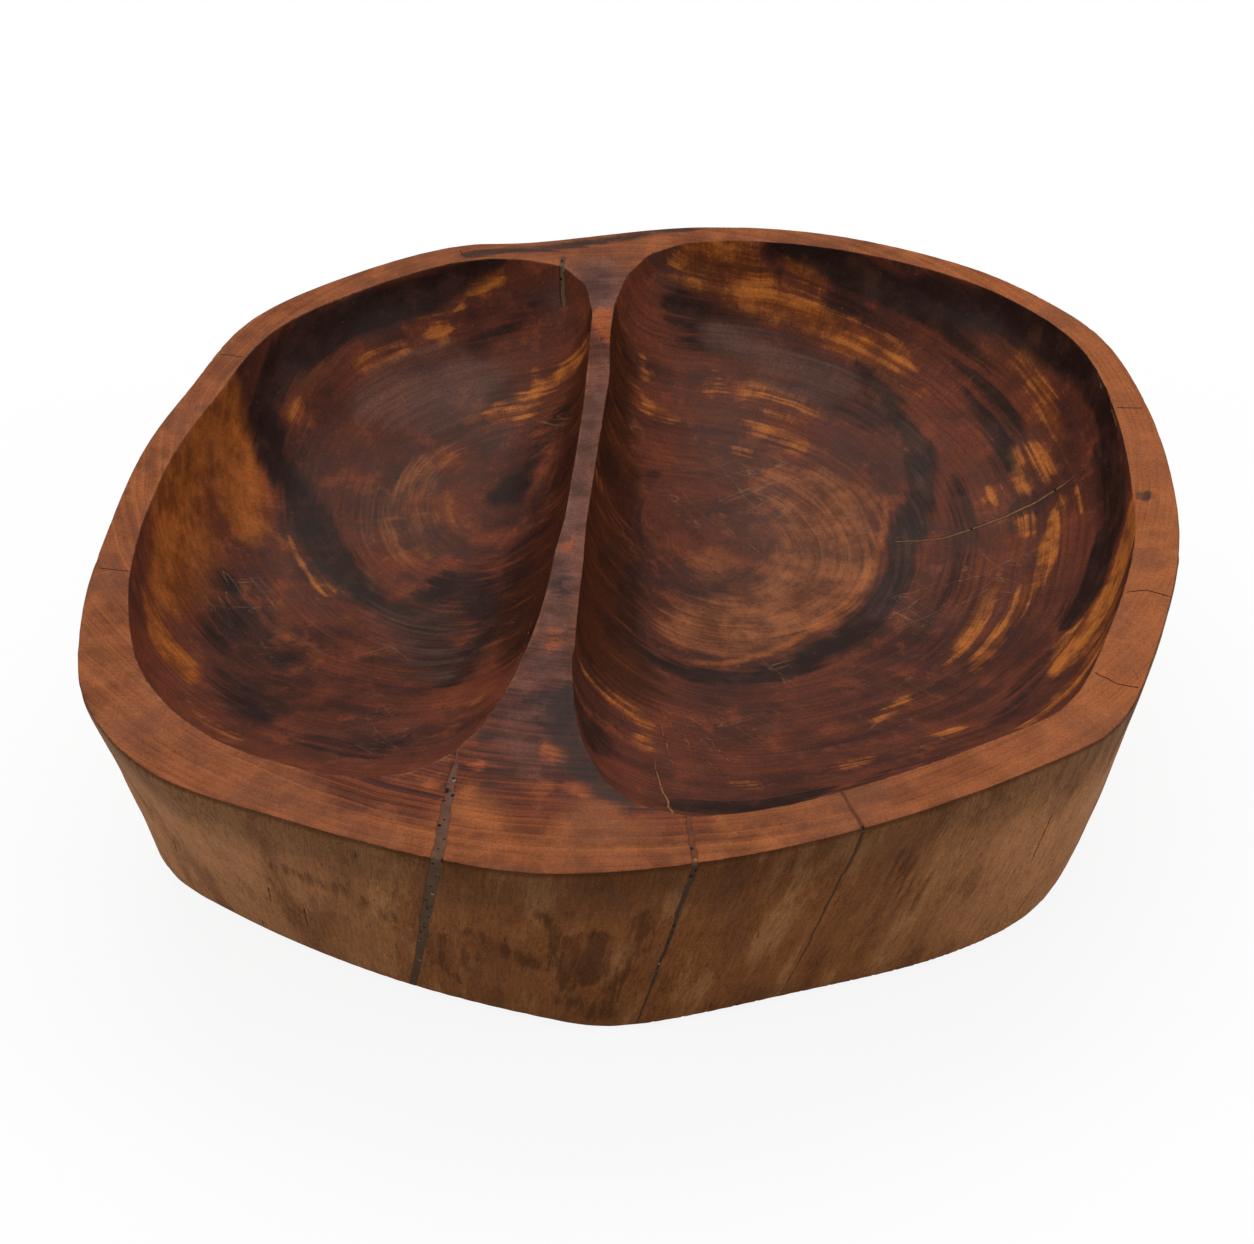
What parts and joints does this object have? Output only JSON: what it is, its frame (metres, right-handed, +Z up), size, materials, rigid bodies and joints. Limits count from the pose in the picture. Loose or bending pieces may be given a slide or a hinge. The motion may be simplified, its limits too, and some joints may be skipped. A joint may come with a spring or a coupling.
{
  "type": "wooden appetizer dish",
  "caption": "Shallow hand-carved wooden serving dish with a lobed outline, a flat rim and base, and hollow bays side by side with a low ridge between them.",
  "frame": {"origin": "on the table plane, under the middle of the dish's overall width and length", "axes": "+Z up, +Y to the back, +X to the right as seen from the front, where the ridge between the bays runs out widest and the wide filled check comes down the wall"},
  "size_m": [0.284, 0.286, 0.072],
  "materials": {
    "wood": "carved hardwood slice, end grain up, dark red-brown and oiled inside, tan and matt on the outer wall",
    "crack_filler": "dark grey gritty filler with fine pits and pale specks"
  },
  "bodies": {
    "root": {"dish_body": "wood", "front_left_check_filler": "crack_filler", "front_centre_check_filler": "crack_filler", "front_right_check_filler": "crack_filler", "back_check_filler": "crack_filler", "right_bay_check_filler": "crack_filler"}
  },
  "joints": []
}
